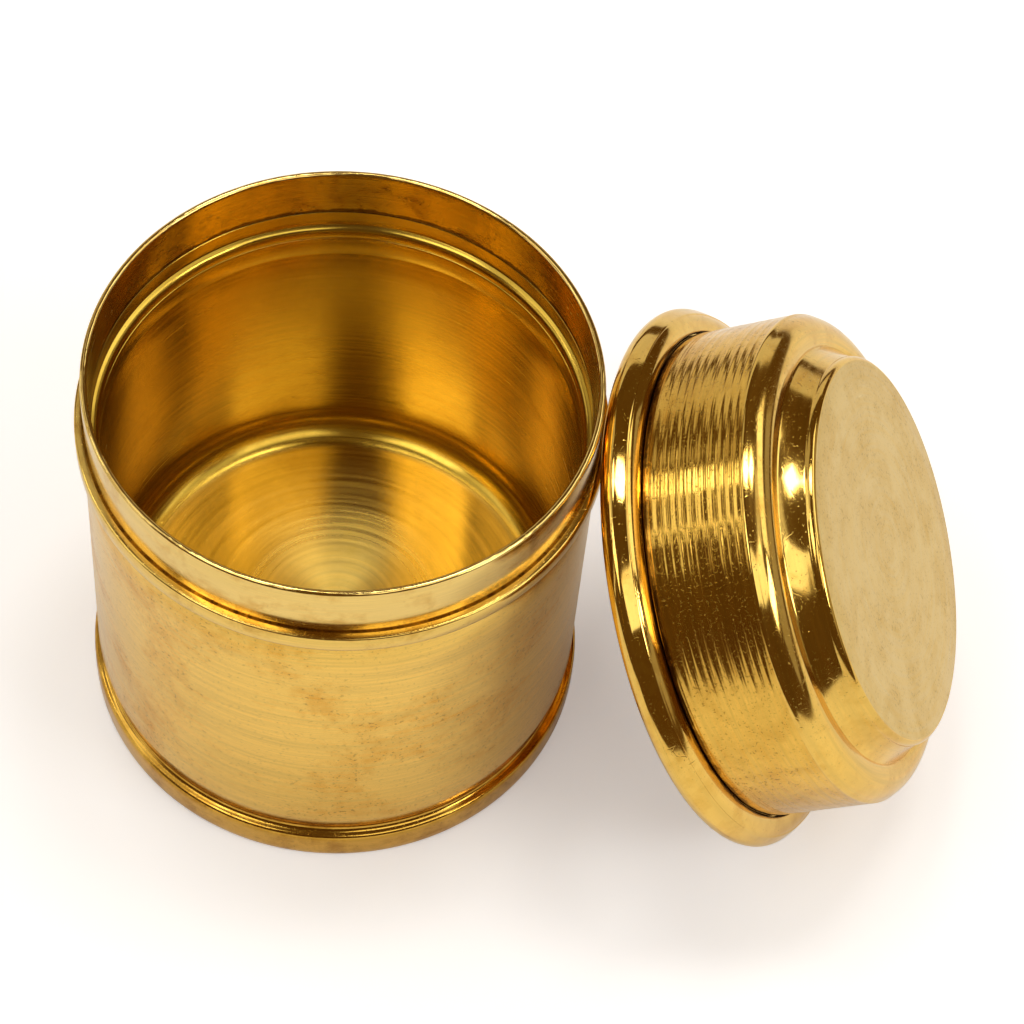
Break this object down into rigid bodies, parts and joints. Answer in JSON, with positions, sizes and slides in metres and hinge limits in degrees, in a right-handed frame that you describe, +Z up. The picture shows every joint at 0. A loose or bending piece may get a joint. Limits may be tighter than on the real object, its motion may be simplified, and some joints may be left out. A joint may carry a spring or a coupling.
{
  "type": "sindoor box",
  "caption": "Round brass powder box: a straight turned pot with a raised neck and foot, and a stepped friction lid set down against its rim.",
  "frame": {"origin": "on the floor, at the centre of the box that bounds the pot and the leaning lid", "axes": "+Z up along the pot's axis; +X from the pot towards the lid, whose own axis lies in the XZ plane, 30.15 degrees above +X"},
  "size_m": [0.1156, 0.0704, 0.066],
  "materials": {
    "body_brass": "turned, satin, mottled with old tarnish",
    "foot_brass": "turned, worn satin",
    "shoulder_brass": "turned, half polished",
    "neck_brass": "turned, brushed bright by the lid",
    "lid_ring_brass": "turned and polished",
    "lid_crown_brass": "turned with fine ridges, satin top"
  },
  "bodies": {
    "pot": {"body_cup": "body_brass", "foot_ring": "foot_brass", "shoulder_ring": "shoulder_brass", "neck_sleeve": "neck_brass"},
    "lid": {"lid_ring": "lid_ring_brass", "lid_crown": "lid_crown_brass"}
  },
  "joints": [
    {"name": "lid_lift", "type": "slide", "parent": "pot", "child": "lid", "axis": [0, 0, 1], "range_m": [0, 0.068]}
  ]
}
